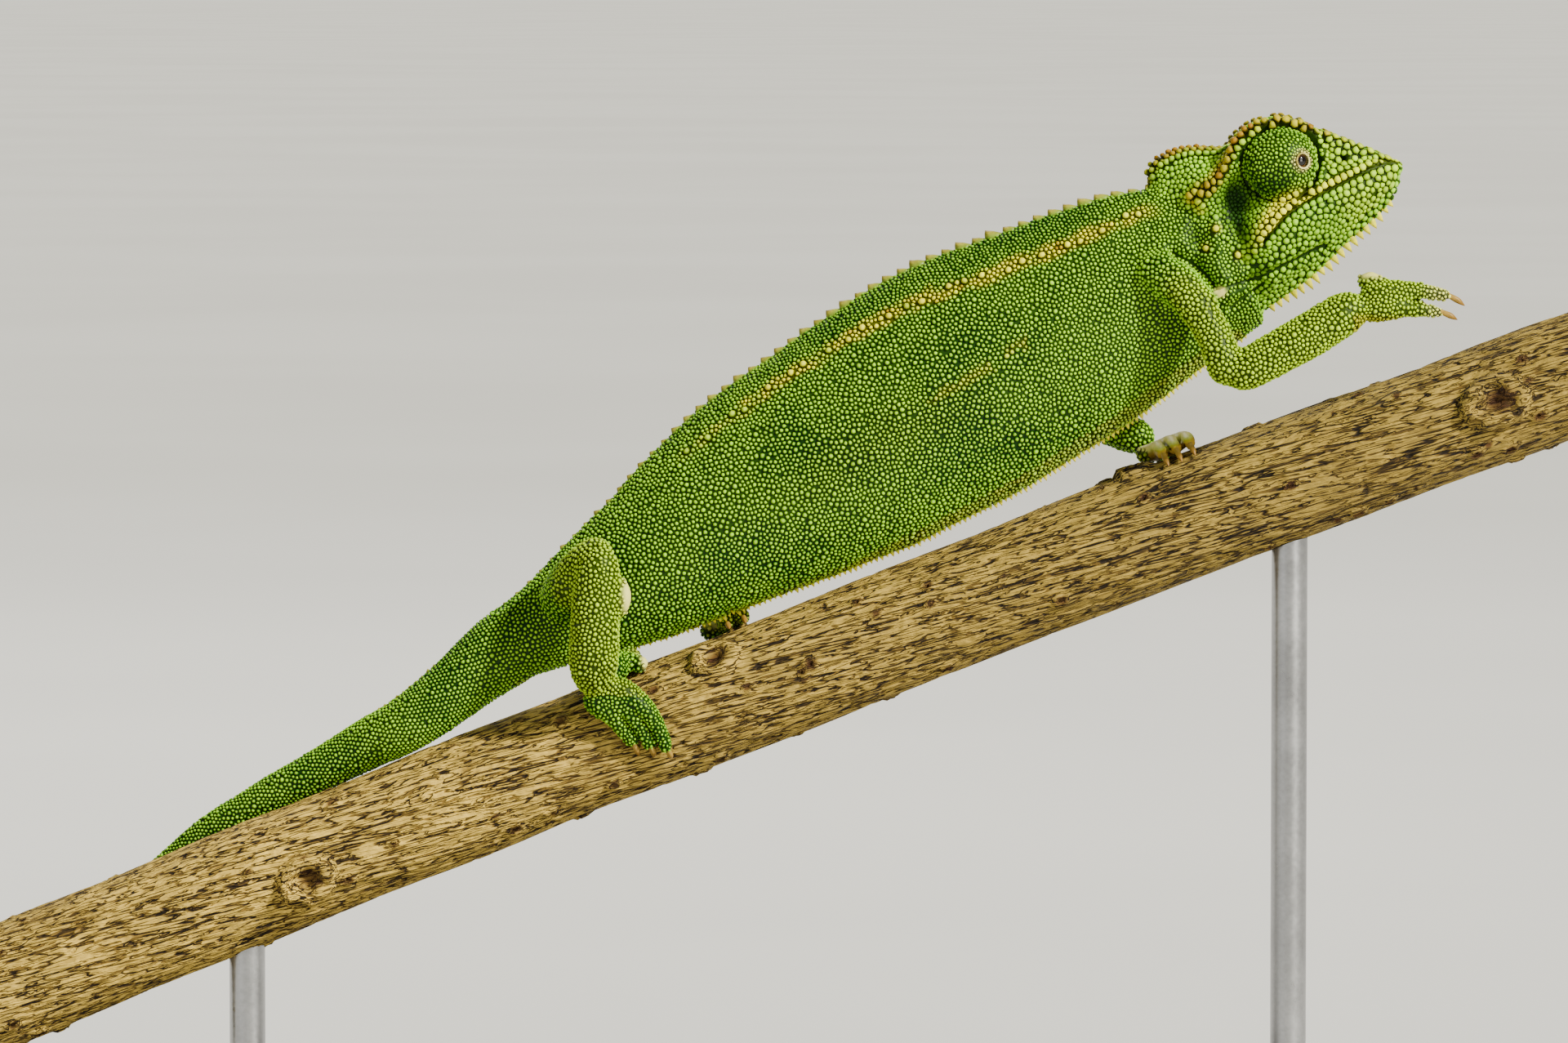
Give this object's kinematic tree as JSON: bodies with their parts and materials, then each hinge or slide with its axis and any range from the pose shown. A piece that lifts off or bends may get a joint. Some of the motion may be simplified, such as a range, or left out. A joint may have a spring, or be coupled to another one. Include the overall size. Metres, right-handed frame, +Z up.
{
  "type": "chameleon model on a branch",
  "caption": "Life-size still model of a green chameleon walking up a slanting branch, one forefoot lifted, tail curled round the branch, on a flat base with two rods.",
  "frame": {"origin": "middle of the underside of the stand's base", "axes": "+X the way the animal walks, up the branch, +Y its left side, +Z up"},
  "size_m": [0.2212, 0.084, 0.1441],
  "materials": {
    "skin": "dry granular scales, yellow-green with a pale yellow stripe along the flank",
    "eyelid": "fine granular scales",
    "foot": "dry granular scales with pale soles",
    "eye": "wet, dark brown",
    "claw": "semi-gloss horn",
    "bark": "rough wrinkled bark, cut ends",
    "rod": "satin black steel",
    "base": "dark stained hardwood, satin"
  },
  "bodies": {
    "root": {"head": "skin", "casque": "skin", "lower_jaw": "skin", "eyelid_right": "eyelid", "eyelid_left": "eyelid", "eye_right": "eye", "eye_left": "eye", "neck": "skin", "trunk_front": "skin", "trunk_rear": "skin", "tail_1": "skin", "tail_2": "skin", "tail_3": "skin", "tail_4": "skin", "tail_5": "skin", "upper_arm_right_fore": "skin", "forearm_right_fore": "skin", "forefoot_right_fore_outer": "foot", "forefoot_right_fore_inner": "foot", "claw_right_fore_1": "claw", "claw_right_fore_2": "claw", "claw_right_fore_3": "claw", "claw_right_fore_4": "claw", "claw_right_fore_5": "claw", "upper_arm_left_fore": "skin", "forearm_left_fore": "skin", "forefoot_left_fore_outer": "foot", "forefoot_left_fore_inner": "foot", "claw_left_fore_1": "claw", "claw_left_fore_2": "claw", "claw_left_fore_3": "claw", "claw_left_fore_4": "claw", "claw_left_fore_5": "claw", "thigh_right_hind": "skin", "shank_right_hind": "skin", "hindfoot_right_hind_outer": "foot", "hindfoot_right_hind_inner": "foot", "claw_right_hind_1": "claw", "claw_right_hind_2": "claw", "claw_right_hind_3": "claw", "claw_right_hind_4": "claw", "claw_right_hind_5": "claw", "thigh_left_hind": "skin", "shank_left_hind": "skin", "hindfoot_left_hind_outer": "foot", "hindfoot_left_hind_inner": "foot", "claw_left_hind_1": "claw", "claw_left_hind_2": "claw", "claw_left_hind_3": "claw", "claw_left_hind_4": "claw", "claw_left_hind_5": "claw", "perch_branch": "bark", "stand_rod_1": "rod", "stand_rod_2": "rod", "stand_base": "base"}
  },
  "joints": []
}
